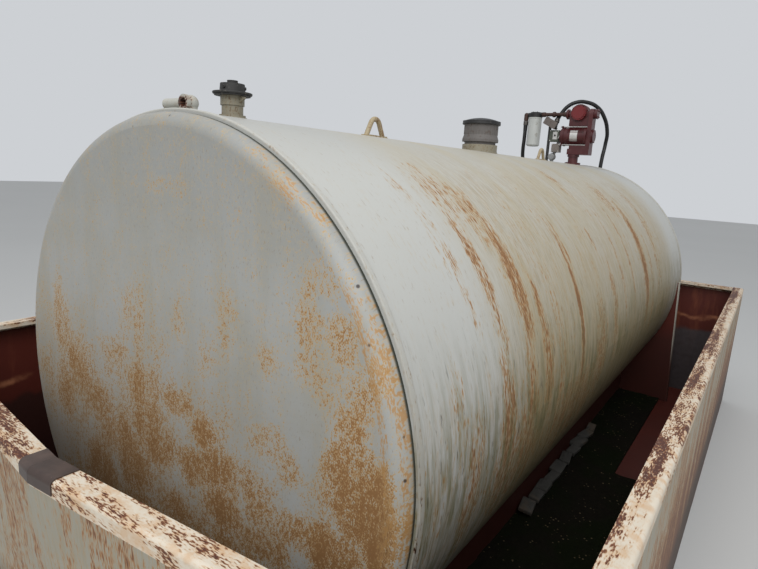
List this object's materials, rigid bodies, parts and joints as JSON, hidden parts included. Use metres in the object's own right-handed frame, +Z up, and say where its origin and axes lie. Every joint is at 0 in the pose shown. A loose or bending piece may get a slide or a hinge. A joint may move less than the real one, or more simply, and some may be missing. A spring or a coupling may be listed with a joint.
{
  "type": "horizontal fuel storage tank in a steel containment basin",
  "caption": "Horizontal cylindrical steel fuel tank with flat flanged heads, vents, lifting lugs and a transfer pump, on saddles in an open rectangular containment basin.",
  "frame": {"origin": "middle of the basin's outline in plan, on the underside of its floor plate", "axes": "+Y along the tank from the head that the picture shows to the pump end, +Z up"},
  "size_m": [2.39, 4.264, 2.1548],
  "materials": {
    "basin_paint": "matt oxide red, stained",
    "rim_paint": "cream paint flaking over rust",
    "patch_sheet": "smooth dark grey",
    "skid_paint": "matt oxide red",
    "tank_paint": "aged white with rust streaks",
    "vent_metal": "dull dark grey",
    "lug_steel": "tan, weathered",
    "pump_paint": "dark red enamel",
    "bright_steel": "bright",
    "pipe_steel": "dark, weathered",
    "filter_black": "black",
    "filter_paint": "pale grey enamel",
    "holster_sheet": "brown grey",
    "nozzle_metal": "dark grey",
    "box_paint": "grey green",
    "conduit_metal": "dull cast",
    "hose_rubber": "black"
  },
  "bodies": {
    "tank": {"basin_floor": "basin_paint", "front_wall": "basin_paint", "back_wall": "basin_paint", "left_wall": "basin_paint", "right_wall": "basin_paint", "front_rim": "rim_paint", "back_rim": "rim_paint", "left_rim": "rim_paint", "right_rim": "rim_paint", "rim_patch": "patch_sheet", "left_skid": "skid_paint", "right_skid": "skid_paint", "front_saddle": "skid_paint", "rear_saddle": "skid_paint", "tank_shell": "tank_paint", "front_head": "tank_paint", "rear_head": "tank_paint", "front_lip": "tank_paint", "rear_lip": "tank_paint", "small_vent_neck": "tank_paint", "emergency_vent_collar": "tank_paint", "pipe_stub": "tank_paint", "small_vent_cap": "vent_metal", "emergency_vent_body": "vent_metal", "front_lifting_lug": "lug_steel", "rear_lifting_lug": "lug_steel", "pump_pedestal": "pump_paint", "pump_casing": "pump_paint", "pump_motor": "pump_paint", "pump_head": "pump_paint", "pump_cover": "pump_paint", "motor_tie_rods": "bright_steel", "outlet_pipe": "pipe_steel", "hose_elbow": "pipe_steel", "nozzle_post": "pipe_steel", "filter_head": "filter_black", "filter_canister": "filter_paint", "nozzle_boot": "holster_sheet", "nozzle": "nozzle_metal", "switch_box": "box_paint", "junction_box": "box_paint", "conduit_box": "conduit_metal", "delivery_hose": "hose_rubber"},
    "vent_lid": {"emergency_vent_lid": "vent_metal", "emergency_vent_stem": "vent_metal"}
  },
  "joints": [
    {"name": "vent_lid_lift", "type": "slide", "parent": "tank", "child": "vent_lid", "axis": [0, 0, 1], "range_m": [0, 0.025]}
  ]
}
